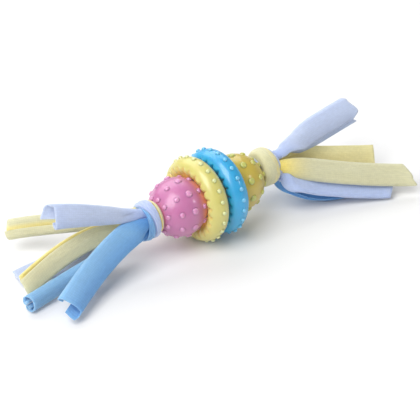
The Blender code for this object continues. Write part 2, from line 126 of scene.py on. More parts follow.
# Wraps of the knots. An edge is (mean share, tilt share, tilt angle) along its knot. Folds are the
# number of soft ridges across the wrap, their depth in millimetres, the share of the wrap's width
# where they start, and how much they drift round the rope. Bulge is how far the wrap's middle stands
# out, in millimetres.
Wrap = namedtuple("Wrap", "name cloth inner_edge outer_edge folds bulge")
LEFT_WRAPS = (
    Wrap("knot_left_inner_wrap", "yellow", (0, 0, 0), (0.2, 0.08, 120), (1, 0.2, 0, 0.2), 0),
    Wrap("knot_left_main_wrap", "lavender", (0.2, 0.08, 120), (0.76, 0.2, 50), (4, 0.55, 0, 0.9), 0.4),
    Wrap("knot_left_cross_wrap", "blue", (0.76, 0.2, 50), (1, 0, 0), (4, 0.6, 0, 0.5), 0.6),
)
RIGHT_WRAPS = (
    Wrap("knot_right_inner_wrap", "lavender", (0, 0, 0), (0.01, 0.1, 55), (1, 0.2, 0, 0.2), -0.1),
    Wrap("knot_right_main_wrap", "yellow", (0.01, 0.1, 55), (0.84, 0.04, 200), (8, 0.7, 0.5, 0.2), 0.5),
    Wrap("knot_right_collar_wrap", "lavender", (0.84, 0.04, 200), (1, 0, 0), (2, 0.3, 0, 0.4), 0.1),
)

# A knot leans out by a share of its radius, tapers by others before and after its middle, and runs out
# over the tails' roots by an overhang in millimetres, most of all at its lower front.
Knot = namedtuple("Knot", "side wraps lean tapers overhang")
KNOTS = (Knot(LEFT, LEFT_WRAPS, 0, (0.3, 0.12), 2.6), Knot(RIGHT, RIGHT_WRAPS, 0.2, (0.12, 0.26), 1.0))
KNOT_LEAN_ANGLE = 64
KNOT_OVERHANG_ANGLE = 240
KNOT_LEAST_OVERHANG = 0.35
KNOT_FLATTENING = 0.06
KNOT_SEED = 50
# The tails come out of a flared mouth in the knot's end, so many millimetres deep.
MOUTH_DEPTH = 1.5
MOUTH_FLARE = 1.5
# In millimetres, a wrap's bore, the gap to the next one, and how far it lies under the knot's crown.
WRAP_BORE = 6.0
WRAP_GAP = 0.3
WRAP_SINK = 0.2
WRAP_STEPS = 120
WRAP_SECTION_STEPS = 56
# Shares of the knot's length: the last place of a tilted edge, and the width below which a wrap is
# tucked in under its neighbour.
WRAP_LAST_EDGE = 0.96
WRAP_FULL_WIDTH = 0.2
WRAP_TUCKED_HEIGHT = 0.1
# Powers of a wrap's section, along the rope and out from it: the lower, the squarer.
WRAP_POWERS = (0.55, 0.3)
# A fold's power, the share of its height that is level with the wrap, the share of the wrap's width
# where it grows, how strong the painted shade and glow is in the troughs beside it, and how fast it
# wanders.
FOLD_POWER = 0.6
FOLD_LEVEL = 0.7
FOLD_GROWTH = 0.2
FOLD_PAINTED_LIGHT = 0.9
FOLD_WANDER = 0.9

# A tail's route is a curve through its root with three more control points, in shares of the tails'
# reach, of their spread, and of the rope's height. Tip turn is the bank of the cloth at the tip, and
# turned is the share of the length where it has come to that. Form is the cross section there, as
# (millimetres of cloth, degrees that it turns) from one edge to the other, and face is the place along
# it that lies level with the bank. Opened is the share of the length where the strip has unrolled. Cut
# is how much further than its middle the cloth goes at places across its end, in millimetres. Tint is
# how strong the painted fold shade and glow is at places across it. Swing is the way that it bends
# from its root.
Tail = namedtuple("Tail", "side strand route tip_turn turned form face opened cut tint swing")
TAILS = (
    Tail(LEFT, 0, ((0.15, -0.1, 0.06), (0.3, 0.02, -0.38), (0.84, -0.39, -0.66)),
         46, 0.6, ((7, 30), (4, 140), (13, 36), (6, 120), (3, 80)), 15.5, 0.35,
         ((0, 3), (0.2, 4), (0.34, -2), (0.8, 0), (1, -3)), ((0.35, 0.45), (0.7, 0), (1, 0)), 190),
    Tail(LEFT, 1, ((0.18, -0.07, -0.34), (0.49, 0.11, -0.8), (1, -0.05, -0.77)),
         62, 0.6, ((4, 175), (7.25, 168), (10.5, 105), (7.25, 168), (4, 175)), 16.5, 0.5,
         ((0, 1), (0.5, -1), (1, 2)), ((0, 0), (1, 0)), -90),
    Tail(LEFT, 2, ((0.17, 0.08, -0.02), (0.36, 0.33, -0.16), (0.96, 0.13, -0.62)),
         64, 0.4, ((4, 10), (2.5, -160), (10.5, 5), (5, 165), (11, 30)), 25, 0.4,
         ((0, -3), (0.5, -2), (0.7, 2), (1, 1)), ((0, 0.6), (0.45, 0.45), (0.58, 0), (1, 0)), 62),
    Tail(LEFT, 3, ((0.16, 0.15, -0.38), (0.45, 0.5, -1), (0.86, 0.42, -0.93)),
         -172, 0.6, ((15.5, 8), (2, 165), (15.5, 5)), 8, 0.4, ((0, -3), (0.5, 1), (1, -1)),
         ((0, 0), (1, 0)), 0),
    Tail(LEFT, 4, ((0.13, 0.13, 0.05), (0.43, 0.68, -0.2), (0.67, 0.98, -0.46)),
         -118, 0.6, ((7, 30), (7, 165), (8, 15), (7.5, 165), (3.5, 15)), 18, 0.5,
         ((0, 1), (0.5, -2), (1, 2)), ((0, 0.8), (0.1, 0.5), (0.2, 0), (1, 0)), 30),
    Tail(LEFT, 5, ((0.15, -0.02, 0.32), (0.42, 0.12, 0.58), (0.62, 0.24, 0.61)),
         58, 0.6, ((2, 60), (6, 150), (13, 25), (3.5, 125), (8.5, 20)), 14.5, 1.4,
         ((0, 1), (0.2, 0), (0.6, 0), (0.66, 3), (0.8, 6), (1, 8)), ((0, 0), (1, 0)), 95),
    Tail(RIGHT, 0, ((0.1, -0.08, -0.42), (0.17, -0.17, -0.97), (0.68, -0.33, -0.94)),
         180, 0.6, ((6, -60), (10, -20), (2, -165), (15, -5)), 11, 0.4, ((0, 1), (0.5, 0), (1, -2)),
         ((0, 0.6), (1, 0.6)), -90),
    Tail(RIGHT, 1, ((0.12, 0.11, -0.3), (0.58, 0.18, -0.92), (0.85, -0.03, -0.88)),
         168, 0.6, ((6, -50), (10, -15), (2, -165), (15, -5)), 11, 0.4, ((0, 1), (0.5, 0), (1, -2)),
         ((0, 0), (1, 0)), -8),
    Tail(RIGHT, 2, ((0.1, 0.05, 0.04), (0.58, -0.08, -0.4), (0.89, -0.24, -0.52)),
         125, 0.6, ((13, -5), (2, -165), (16, -20), (2, -5)), 25, 0.5,
         ((0, -3), (0.4, 1), (0.7, -1), (1, -1)), ((0, 0.45), (1, 0.25)), 20),
    Tail(RIGHT, 3, ((0.1, -0.03, 0.38), (0.45, 0.04, 0.45), (0.85, 0.11, 0.49)),
         -60, 0.6, ((6.5, 120), (12.5, 30), (3, 165), (2, 5), (2, -165), (7, -10)), 13.5, 0.7,
         ((0, -6), (0.2, -2), (0.5, 3), (0.62, -3), (0.9, 0), (1, 3)), ((0, 0), (1, 0)), 90),
    Tail(RIGHT, 4, ((0.11, -0.13, 0.02), (0.52, -0.42, -0.4), (0.95, -0.69, -0.56)),
         -50, 0.6, ((5, 150), (7, 150), (10, 25), (7, 140), (4, 90)), 17, 0.45,
         ((0, -7), (0.25, -5), (0.6, 1), (0.75, 4), (1, -6)), ((0, 1), (0.2, 0), (1, 0)), 160),
    Tail(RIGHT, 5, ((0.08, -0.09, -0.14), (0.41, -0.23, -0.66), (0.85, -0.53, -0.77)),
         165, 0.12, ((3, -120), (26, -22), (4, -110)), 16, 0.3, ((0, -3), (0.3, 0), (0.5, 0), (1, -3)),
         ((0, 0.5), (1, 0.5)), 182),
)
TAIL_REACH = 85
TAIL_SPREAD = 62
ROPE_HEIGHT = 28.7
# Millimetres between a tail's solid root and its hinge, from the solid root out to the drawn one, and of
# cloth that is held inside the knot.
TAIL_PIVOT_OFFSET = 2.6
TAIL_ROOT_SPREAD = 1.8
TAIL_INSET = 3
# Degrees that a strip is rolled through at its root, and the share of them that its edges have more.
TAIL_ROOT_TURN = 760
TAIL_ROOT_TIGHTENING = 0.25
TAIL_BEND_SHARE = 0.16
TAIL_ROWS = 64
TAIL_COLUMNS = 72
# How strong the painted shade and glow is at a tail's root, and the shares of its length where that has
# faded, where its furrows and waves have grown, and between which its cloth is drawn out to its cut.
TAIL_ROOT_PAINTED_LIGHT = 0.8
TAIL_ROOT_PAINTED_LIGHT_END = 0.42
TAIL_LUMPS_GROWN = 0.3
TAIL_CUT_RISE = (0.55, 1)
# Furrows that run out from the knot and fade, and slow waves: their height in millimetres, and how many
# lumps there are across and along the strip.
FURROWS = (1.0, 5, 1.5)
FURROWS_AT_ROOT = 1.1
FURROWS_FADE = 0.7
WAVES = (0.8, 1.5, 5)
# Millimetres over the floor within which sagging cloth eases into lying on it.
FLOOR_EASE = 0.6

# A softbox's size and its place from the toy's middle, in metres, as the floor's width is.
Softbox = namedtuple("Softbox", "name size place")
SOFTBOXES = (
    Softbox("key", (1.5, 2.2), (-1.4, -0.35, 1.75)),
    Softbox("fill", (0.12, 0.3), (0.7, -0.8, 0.55)),
    Softbox("back", (2.4, 1.4), (0.3, 1.3, 1.2)),
)
FLOOR_WIDTH = 4

# Period of the wave texture's bands at a scale of 1.
WAVE_PERIOD = 0.314


def linear(channel):
    """A screen value from 0 to 255 as linear light."""
    value = channel / 255
    return value / 12.92 if value <= 0.04045 else ((value + 0.055) / 1.055) ** 2.4


def colour(name, hex_value, description):
    """A setting that holds a colour, which starts as an sRGB hex value."""
    channels = [linear(channel) for channel in bytes.fromhex(hex_value)]
    return bpy.props.FloatVectorProperty(name=name, description=description, subtype="COLOR", size=3,
                                         min=0, max=1, default=channels)


def size(name, millimetres, description):
    return bpy.props.FloatProperty(name=name, description=description, unit="LENGTH",
                                   default=millimetres * MM)


def power(name, watts, description):
    return bpy.props.FloatProperty(name=name, description=description, unit="POWER", default=watts)


class RopeToyRubber(bpy.types.PropertyGroup):
    """Sizes and colours of the balls and rings."""
    pink_ball: colour("Pink ball", "C06FA2", "Rubber of the pink ball")
    # Nub colours are painted paler towards the nubs' tips, as light through thin rubber would look.
    pink_ball_nub: colour("Pink ball nubs", "CC88B4", "Thin rubber of its nubs")
    # Painted glow of yellow light from the ring, laid on the ball's side next to it.
    pink_ball_glow: colour("Pink ball glow", "EA9E88", "Where yellow light comes through it")
    yellow_ball: colour("Yellow ball", "C4AE38", "Rubber of the mustard ball")
    yellow_ball_nub: colour("Yellow ball nubs", "B8BC5C", "Thin rubber of its nubs")
    # Painted shade, darker, laid on the ball's side next to the blue ring.
    yellow_ball_glow: colour("Yellow ball glow", "9C9440", "Where bluish light comes through it")
    yellow_ring: colour("Yellow ring", "CFC76E", "Rubber of the pastel yellow ring")
    yellow_ring_nub: colour("Yellow ring nubs", "CED39A", "Thin rubber of its nubs")
    # Painted glow and shade, laid in the grooves between its ribs and inside its hole.
    yellow_ring_glow: colour("Yellow ring glow", "E2C070", "Deep between its ribs")
    blue_ring: colour("Blue ring", "00A2D6", "Rubber of the sky blue ring")
    blue_ring_nub: colour("Blue ring nubs", "66B8E2", "Thin rubber of its nubs")
    # Painted shade, deeper blue, laid in the grooves between its ribs and inside its hole.
    blue_ring_glow: colour("Blue ring glow", "1478B4", "Deep between its ribs")
    ball_radius: size("Ball radius", 18.7, "Radius of a ball without its nubs")
    bore_radius: size("Bore radius", 6.0, "Radius of a ball's bore")
    lip_radius: size("Lip radius", 1.5, "Rounding between a ball and its bore")
    ball_nub_height: size("Ball nub height", 1.2, "Height of a ball's nubs")
    ring_centre_radius: size("Ring centre radius", 22.0, "Middle of a ring's section")
    ring_half_depth: size("Ring half depth", 5.5, "Half of a ring's section, in radius")
    ring_half_width: size("Ring half width", 6.65, "Half of a ring's section, along the rope")
    ring_rib_height: size("Ring rib height", 0.5, "Height of the ribs round a ring's hole")
    ring_nub_radius: size("Ring nub radius", 1.4, "Radius of a ring's nubs at the root")
    ring_nub_height: size("Ring nub height", 1.2, "Height of a ring's nubs")


class RopeToyCloth(bpy.types.PropertyGroup):
    """Sizes and colours of the rope's jersey."""
    lavender: colour("Lavender jersey", "B4C0DE", "Cloth of the lavender strips")
    # The fold colours are painted shade and glow, laid in folds, at the tails' roots and on tails in
    # shade.
    lavender_fold: colour("Lavender in folds", "98A8D2", "Lavender cloth seen deep in a fold")
    yellow: colour("Yellow jersey", "CFCCA8", "Cloth of the cream-yellow strips")
    yellow_fold: colour("Yellow in folds", "E6CE64", "Yellow cloth seen deep in a fold")
    blue: colour("Blue jersey", "82AED8", "Cloth of the light blue strips")
    blue_fold: colour("Blue in folds", "3F78B4", "Blue cloth seen deep in a fold")
    strip_width: size("Strip width", 33, "Width that a strip is cut to")
    thickness: size("Cloth thickness", 0.65, "Thickness of the jersey")
    strand_radius: size("Strand radius", 1.8, "Radius of one rolled strand of the core")
    strand_circle: size("Strand circle", 3.9, "Circle that the strands' middles lie on")
    left_knot_radius: size("Left knot radius", 12.3, "Radius of the left knot")
    left_knot_length: size("Left knot length", 10.6, "Length of the left knot")
    right_knot_radius: size("Right knot radius", 12.6, "Radius of the right knot")
    right_knot_length: size("Right knot length", 13.4, "Length of the right knot")


class RopeToyStage(bpy.types.PropertyGroup):
    """Floor, lights and camera."""
    floor: colour("Floor", "E8E8E8", "Paper that the toy lies on")
    key_power: power("Key light", 56.0, "Power of the large soft light")
    fill_power: power("Fill light", 1.2, "Power of the small light in front")
    back_power: power("Back light", 22.0, "Power of the soft light behind")
    surround: bpy.props.FloatProperty(name="Surround", description="Strength of the white surround",
                                      default=0.32)
    azimuth: bpy.props.FloatProperty(name="Azimuth", description="Camera's angle round the toy",
                                     subtype="ANGLE", default=math.radians(-38.44))
    elevation: bpy.props.FloatProperty(name="Elevation", description="Camera's angle over the floor",
                                       subtype="ANGLE", default=math.radians(31.86))
    distance: size("Distance", 1186.6, "From the toy's middle to the camera")
    lens: bpy.props.FloatProperty(name="Lens", default=162.78,
                                  description="Focal length in millimetres on a 36 mm sensor")
    shift: bpy.props.FloatVectorProperty(name="Shift", description="Shift of the picture, in its widths",
                                         size=2, default=(0.0078, -0.0364))


def smooth(value, start=0, end=1):
    """Ease from 0 to 1 as the value goes from start to end."""
    share = min(max((value - start) / (end - start), 0), 1)
    return share * share * (3 - 2 * share)


def signed_power(value, power):
    return math.copysign(abs(value) ** power, value)


def polar(radius, angle, along=0):
    """The place at a radius from the rope and an angle in degrees round it."""
    turn = math.radians(angle)
    return Vector((along, radius * math.cos(turn), radius * math.sin(turn)))


def side_name(side):
    return "left" if side == LEFT else "right"


def tail_start(side):
    """Place along the rope of the roots of one side's tails."""
    return PIVOTS["tail_{}_blue_1_bend".format(side_name(side))].x


def strand_angle(index, share):
    """A strand's angle round the rope at a share of the way from the left to the right knot."""
    return STRAND_START_ANGLE + 360 * index / len(STRANDS) + STRAND_TWIST * share


def grid_mesh(name, rows, columns, point, loop_rows=False, loop_columns=False, flat=(1, 1)):
    """Quads over point(row share, column share), closed where they loop, with flat sizes as UVs."""
    row_count = rows if loop_rows else rows + 1
    column_count = columns if loop_columns else columns + 1
    places = [point(row / rows, column / columns)
              for row in range(row_count) for column in range(column_count)]
    faces, marks = [], []
    for row in range(rows):
        for column in range(columns):
            corners = ((row, column), (row, column + 1), (row + 1, column + 1), (row + 1, column))
            faces.append([(r % row_count) * column_count + c % column_count for r, c in corners])
            marks += [(c / columns * flat[1], r / rows * flat[0]) for r, c in corners]
    mesh = bpy.data.meshes.new(name)
    mesh.from_pydata(places, [], faces)
    layer = mesh.uv_layers.new(name="Cloth")
    for loop, mark in zip(layer.data, marks):
        loop.uv = mark
    mesh.shade_smooth()
    return mesh


def mark_points(mesh, name, values):
    """Store one value a point, for the mesh's material."""
    mesh.attributes.new(name, "FLOAT", "POINT").data.foreach_set("value", values)


def turn_outwards(mesh):
    """Make the normals of closed surfaces face out."""
    bm = bmesh.new()
    bm.from_mesh(mesh)
    bmesh.ops.recalc_face_normals(bm, faces=bm.faces)
    bm.to_mesh(mesh)
    bm.free()


def add_piece(name, mesh, material, place=(0, 0, 0)):
    piece = bpy.data.objects.new(name, mesh)
    piece.location = place
    mesh.materials.append(material)
    bpy.context.scene.collection.objects.link(piece)
    return piece


def feed(tree, node, sources):
    """Feed a node's sockets, by name or number, with values or other nodes' outputs."""
    for socket, source in sources.items():
        if isinstance(source, bpy.types.NodeSocket):
            tree.links.new(source, node.inputs[socket])
        else:
            node.inputs[socket].default_value = source


def add_node(tree, kind, sources=None, **settings):
    """Add a node with its settings, and feed its sockets."""
    node = tree.nodes.new(kind)
    for name, value in settings.items():
        setattr(node, name, value)
    feed(tree, node, sources or {})
    return node


def new_material(name):
    """An empty material, with its node tree and its shader."""
    material = bpy.data.materials.new(name)
    material.use_nodes = True
    tree = material.node_tree
    return material, tree, tree.nodes["Principled BSDF"]


def moulded_rubber(name, body, nub, painted_light_colour):
    """Thermoplastic rubber, injection moulded.

    Light sinks a few millimetres into it, so it glows softly where it is lit. Its nubs are painted paler
    towards their tips, as light through thin rubber would look, and painted shade and glow, with a faint
    emission, lie on a ball's side by its ring and deep in a ring's grooves and hole. The mould's fine
    spark finish spreads the highlights, under a thin skin that stays glossy.
    """
    material, tree, shader = new_material(name)
    place = add_node(tree, "ShaderNodeTexCoord").outputs["Object"]
    # Painted light: nubs are painted paler towards their tips.
    tip = add_node(tree, "ShaderNodeAttribute", attribute_name="tip").outputs["Fac"]
    # Painted light: tint and glow on a ball's side by its ring, and deep in a ring's grooves and hole.
    deep = add_node(tree, "ShaderNodeAttribute", attribute_name="deep").outputs["Fac"]
    # Pigment that flowed unevenly, in clouds about 8 mm wide.
    clouds = add_node(tree, "ShaderNodeTexNoise",
                      {"Vector": place, "Scale": 1 / (8.33 * MM)}).outputs["Fac"]
    uneven = add_node(tree, "ShaderNodeMapRange",
                      {"Value": clouds, "To Min": 0.94, "To Max": 1.05}).outputs["Result"]
    painted_light_mix = add_node(tree, "ShaderNodeMix", {0: deep, 6: (*body, 1), 7: (*painted_light_colour, 1)},
                           data_type="RGBA").outputs[2]
    mixed = add_node(tree, "ShaderNodeMix", {0: tip, 6: painted_light_mix, 7: (*nub, 1)},
                     data_type="RGBA").outputs[2]
    tone = add_node(tree, "ShaderNodeHueSaturation", {"Color": mixed, "Value": uneven}).outputs["Color"]
    # The mould's spark finish has a grit of about 0.15 mm, drawn 0.5 mm so that it shows at all.
    grit = add_node(tree, "ShaderNodeTexNoise", {"Vector": place, "Scale": 1 / (0.5 * MM)}).outputs["Fac"]
    satin = add_node(tree, "ShaderNodeMapRange",
                     {"Value": grit, "To Min": 0.42, "To Max": 0.58}).outputs["Result"]
    bump = add_node(tree, "ShaderNodeBump", {"Strength": 0.12, "Distance": 0.05 * MM, "Height": grit})
    # Painted glow: where the painted light lies, the rubber also gives a faint emission, as rubber lit
    # through from behind would.
    painted_glow_strength = add_node(tree, "ShaderNodeMath", {0: deep, 1: 0.12}, operation="MULTIPLY").outputs[0]
    feed(tree, shader, {"Base Color": tone, "Normal": bump.outputs["Normal"], "Roughness": satin,
                        "IOR": 1.5, "Specular IOR Level": 0.9, "Coat Weight": 0.7, "Coat Roughness": 0.16,
                        "Subsurface Weight": 0.75, "Subsurface Radius": (1.0, 0.8, 0.7),
                        "Subsurface Scale": 2.5 * MM, "Emission Color": (*painted_light_colour, 1),
                        "Emission Strength": painted_glow_strength})
    return material


def knitted_jersey(name, face, fold):
    """Cotton jersey, knitted, cut into strips whose edges roll.

    Fine wales run along the strip. The soft yarn has a haze of fuzz that brightens its edges. Folds, the
    tails' roots and tails in shade are painted with a deeper fold colour and a faint glow, as light that
    bounces about in a fold would look.
    """
    material, tree, shader = new_material(name)
    flat = add_node(tree, "ShaderNodeUVMap", uv_map="Cloth").outputs["UV"]
    place = add_node(tree, "ShaderNodeTexCoord").outputs["Object"]
    # Painted light: the fold attribute marks where the fold colour and a faint glow are painted.
    fold_painted_light = add_node(tree, "ShaderNodeAttribute", attribute_name="fold").outputs["Fac"]
    # UVs are millimetres of flat cloth. Wales are about 0.8 mm apart and courses 0.6 mm, drawn 1.2 mm
    # and 1.0 mm so that the knit shows.
    wales, courses = (
        add_node(tree, "ShaderNodeTexWave",
                 {"Vector": flat, "Scale": WAVE_PERIOD / spacing, "Distortion": distortion, "Detail": 1,
                  "Detail Scale": 2}, bands_direction=direction).outputs["Fac"]
        for direction, spacing, distortion in (("X", 1.2, 1.2), ("Y", 1.0, 1.5)))
    stitches = add_node(tree, "ShaderNodeMath", {0: wales, 1: courses}, operation="MULTIPLY").outputs[0]
    # Thick and thin yarn, in streaks about 1.5 mm wide and 3 mm long.
    drawn_out = add_node(tree, "ShaderNodeVectorMath", {0: flat, 1: (0.66, 0.33, 1)},
                         operation="MULTIPLY").outputs[0]
    patches = add_node(tree, "ShaderNodeTexNoise",
                       {"Vector": drawn_out, "Scale": 1, "Detail": 4, "Roughness": 0.65}).outputs["Fac"]
    # Soft crinkles of handled cloth, about 7 mm apart.
    crinkle = add_node(tree, "ShaderNodeTexNoise",
                       {"Vector": place, "Scale": 1 / (7.14 * MM)}).outputs["Fac"]
    # Painted shade and glow: the fold colour is mixed in by that mark.
    fold_painted_light_mix = add_node(tree, "ShaderNodeMix", {0: fold_painted_light, 6: (*face, 1), 7: (*fold, 1)},
                    data_type="RGBA").outputs[2]
    heather = add_node(tree, "ShaderNodeMapRange",
                       {"Value": patches, "From Min": 0.3, "From Max": 0.7, "To Min": 0.93,
                        "To Max": 1.06}).outputs["Result"]
    knit = add_node(tree, "ShaderNodeMapRange",
                    {"Value": stitches, "To Min": 0.96, "To Max": 1.04}).outputs["Result"]
    value = add_node(tree, "ShaderNodeMath", {0: heather, 1: knit}, operation="MULTIPLY").outputs[0]
    tone = add_node(tree, "ShaderNodeHueSaturation", {"Color": fold_painted_light_mix, "Value": value}).outputs["Color"]
    soft = add_node(tree, "ShaderNodeBump", {"Strength": 0.5, "Distance": 0.5 * MM, "Height": crinkle})
    loops = add_node(tree, "ShaderNodeBump", {"Strength": 0.5, "Distance": 0.12 * MM, "Height": stitches,
                                              "Normal": soft.outputs["Normal"]})
    # Painted glow: where the fold colour is painted, the cloth also gives a faint emission, as light that
    # bounces about in a fold, or comes through it, would brighten it.
    painted_glow_strength = add_node(tree, "ShaderNodeMath", {0: fold_painted_light, 1: 0.2}, operation="MULTIPLY").outputs[0]
    # The cloth is thin enough for light to come through, so its folds aren't dark inside.
    feed(tree, shader, {"Base Color": tone, "Normal": loops.outputs["Normal"], "Roughness": 0.9,
                        "IOR": 1.45, "Specular IOR Level": 0.2, "Sheen Weight": 0.25,
                        "Sheen Roughness": 0.5, "Subsurface Weight": 0.7,
                        "Subsurface Radius": (1.0, 1.0, 1.0), "Subsurface Scale": 3 * MM,
                        "Emission Color": (*fold, 1), "Emission Strength": painted_glow_strength})
    return material


def jersey(cloth):
    """The jersey of one colour, made once."""
    settings = bpy.context.scene.rope_toy_cloth
    name = cloth + "_knitted_cotton_jersey"
    return bpy.data.materials.get(name) or knitted_jersey(name, getattr(settings, cloth),
                                                          getattr(settings, cloth + "_fold"))


def add_rope_piece(mesh, node, cloth):
    """Make a mesh a piece of jersey that belongs to the rope and its knots."""
    piece = add_piece(mesh.name, mesh, jersey(cloth))
    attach(piece, "rope")
    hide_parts(node)


def add_dome(places, faces, middle, direction, radius, height):
    """A moulded nub: a stud with a domed tip and a fillet where it meets the rubber."""
    side_way = direction.orthogonal().normalized()
    other_way = direction.cross(side_way)
    first = len(places)
    places.append(middle + direction * height)
    for spread, rise in NUB_PROFILE:
        for side in range(NUB_SIDES):
            angle = math.tau * side / NUB_SIDES
            out = side_way * math.cos(angle) + other_way * math.sin(angle)
            places.append(middle + out * spread * radius + direction * rise * height)
    for side in range(NUB_SIDES):
        following = (side + 1) % NUB_SIDES
        faces.append((first, first + 1 + side, first + 1 + following))
        for circle in range(len(NUB_PROFILE) - 1):
            inner = first + 1 + circle * NUB_SIDES
            outer = inner + NUB_SIDES
            faces.append((inner + side, outer + side, outer + following, inner + following))


def add_domes(mesh, nubs, settle):
    """Add nubs, each (direction, radius, height, foot), and return how near its tip each point is."""
    places, faces = [], []
    for direction, radius, height, foot in nubs:
        first = len(places)
        add_dome(places, faces, foot, direction, radius, height)
        for index in range(first, len(places)):
            places[index] = settle(places[index], direction)
    bm = bmesh.new()
    bm.from_mesh(mesh)
    points = [bm.verts.new(place) for place in places]
    for face in faces:
        made = bm.faces.new([points[index] for index in face])
        made.smooth = True
    bm.to_mesh(mesh)
    bm.free()
    # Shares of each nub's painted paleness, growing towards its tip.
    rises = [1] + [rise for _, rise in NUB_PROFILE for _ in range(NUB_SIDES)]
    return [smooth(rise, *NUB_PAINTED_LIGHT_RISE) for rise in rises] * len(nubs)


def add_rubber(rubber, mesh, nubs, settle, painted_lights):
    """Put the nubs on a ball's or a ring's mesh, and make it a piece of moulded rubber."""
    settings = bpy.context.scene.rope_toy_rubber
    nub_painted_lights = add_domes(mesh, nubs, settle)
    # Painted light: paler nub tips, and tint and glow by a ball's ring or deep in a ring's ribs.
    mark_points(mesh, "tip", [0] * len(painted_lights) + nub_painted_lights)
    mark_points(mesh, "deep", painted_lights + [0] * len(nub_painted_lights))
    colours = [getattr(settings, rubber.node + ending) for ending in ("", "_nub", "_glow")]
    material = moulded_rubber(rubber.node + "_moulded_rubber", *colours)
    piece = add_piece(rubber.node + "_rubber", mesh, material, PIVOTS[rubber.node + "_spin"])
    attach(piece, rubber.node)
    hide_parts(rubber.node)


class RopeToyAddBalls(bpy.types.Operator):
    """Add the two nubbed rubber balls"""
    bl_idname = "rope_toy.add_balls"
    bl_label = "Add balls"

    def profile(self, sizes):
        """A ball's closed section as (radius, height), from one lip round the outside and back."""
        lip_radial = sizes.bore_radius + sizes.lip_radius
        lip_axial = math.sqrt((sizes.ball_radius - sizes.lip_radius) ** 2 - lip_radial ** 2)
        edge = math.atan2(lip_axial, lip_radial)
        lip = []
        for step in range(BALL_LIP_STEPS):
            angle = math.pi + (edge - math.pi) * step / BALL_LIP_STEPS
            lip.append((lip_radial + sizes.lip_radius * math.cos(angle),
                        lip_axial + sizes.lip_radius * math.sin(angle)))
        outside = []
        for step in range(BALL_OUTLINE_STEPS + 1):
            angle = edge - 2 * edge * step / BALL_OUTLINE_STEPS
            outside.append((sizes.ball_radius * math.cos(angle), sizes.ball_radius * math.sin(angle)))
        return lip + outside + [(radius, -height) for radius, height in reversed(lip)]

    def execute(self, context):
        sizes = context.scene.rope_toy_rubber
        section = self.profile(sizes)
        for ball in BALLS:
            def point(around, along):
                radius, height = section[round(along * len(section)) % len(section)]
                return polar(radius, 360 * around, height)

            mesh = grid_mesh(ball.node + "_rubber", BALL_STEPS, len(section), point, True, True)
            turn_outwards(mesh)
            nubs = []
            for row, radius in BALL_NUB_ROWS:
                lift = math.radians(row)
                for column in range(BALL_NUB_COLUMNS):
                    angle = ball.nub_angle + 360 * column / BALL_NUB_COLUMNS
                    way = polar(math.cos(lift), angle, math.sin(lift))
                    nubs.append((way, radius * MM, sizes.ball_nub_height, way * sizes.ball_radius))

            def on_ball(place, direction):
                # Heights are measured from the ball's round surface.
                flat = place - direction * place.dot(direction)
                sink = sizes.ball_radius - math.sqrt(sizes.ball_radius ** 2 - flat.length_squared)
                return place - direction * sink

            # Painted light: tint and glow on the ball's side next to its ring.
            painted_lights = [smooth(-ball.side * vertex.co.x / MM, *BALL_PAINTED_LIGHT_RISE) for vertex in mesh.vertices]
            add_rubber(ball, mesh, nubs, on_ball, painted_lights)
        return {"FINISHED"}


class RopeToyAddRings(bpy.types.Operator):
    """Add the two nubbed rubber rings, ribbed round their holes"""
    bl_idname = "rope_toy.add_rings"
    bl_label = "Add rings"

    def execute(self, context):
        sizes = context.scene.rope_toy_rubber
        outer = sizes.ring_centre_radius + sizes.ring_half_depth
        for ring in RINGS:
            painted_lights = []

            def point(around, section):
                angle = math.tau * section
                off_face = abs(math.degrees(math.remainder(angle, math.tau)))
                crest = ((1 + math.cos(math.tau * around * RING_NUB_COUNT)) / 2) ** RIB_CREST_POWER
                groove = 1 - crest
                reached = smooth(off_face, *RIB_RISE)
                rib = reached * (sizes.ring_rib_height * crest - GROOVE_DEPTH * MM * groove)
                # Painted shade and glow in the grooves between the ribs and inside the hole.
                painted_lights.append(max(GROOVE_PAINTED_LIGHT * reached * groove,
                                 HOLE_PAINTED_LIGHT * smooth(off_face, *HOLE_PAINTED_LIGHT_RISE)))
                swell = SWELL_HEIGHT * MM * smooth(off_face, *SWELL_RISE)
                swell *= GROOVE_SWELL + (1 - GROOVE_SWELL) * crest
                half_depth = sizes.ring_half_depth + rib + swell
                radial = sizes.ring_centre_radius + half_depth * math.cos(angle)
                return polar(radial, 360 * around + ring.nub_angle,
                             (sizes.ring_half_width + rib) * math.sin(angle))

            mesh = grid_mesh(ring.node + "_rubber", RING_STEPS, RING_SECTION_STEPS, point, True, True)
            turn_outwards(mesh)
            nubs = []
            for nub in range(RING_NUB_COUNT):
                way = polar(1, ring.nub_angle + 360 * nub / RING_NUB_COUNT)
                nubs.append((way, sizes.ring_nub_radius, sizes.ring_nub_height, way * outer))

            def on_ring(place, direction):
                # Heights are measured from the ring's oval surface.
                across = place - direction * place.dot(direction)
                along = across.x
                sideways = across - Vector((along, 0, 0))
                sink = sizes.ring_half_depth * (1 - math.sqrt(1 - (along / sizes.ring_half_width) ** 2))
                sink += outer - math.sqrt(outer ** 2 - sideways.length_squared)
                return place - direction * sink

            add_rubber(ring, mesh, nubs, on_ring, painted_lights)
        return {"FINISHED"}


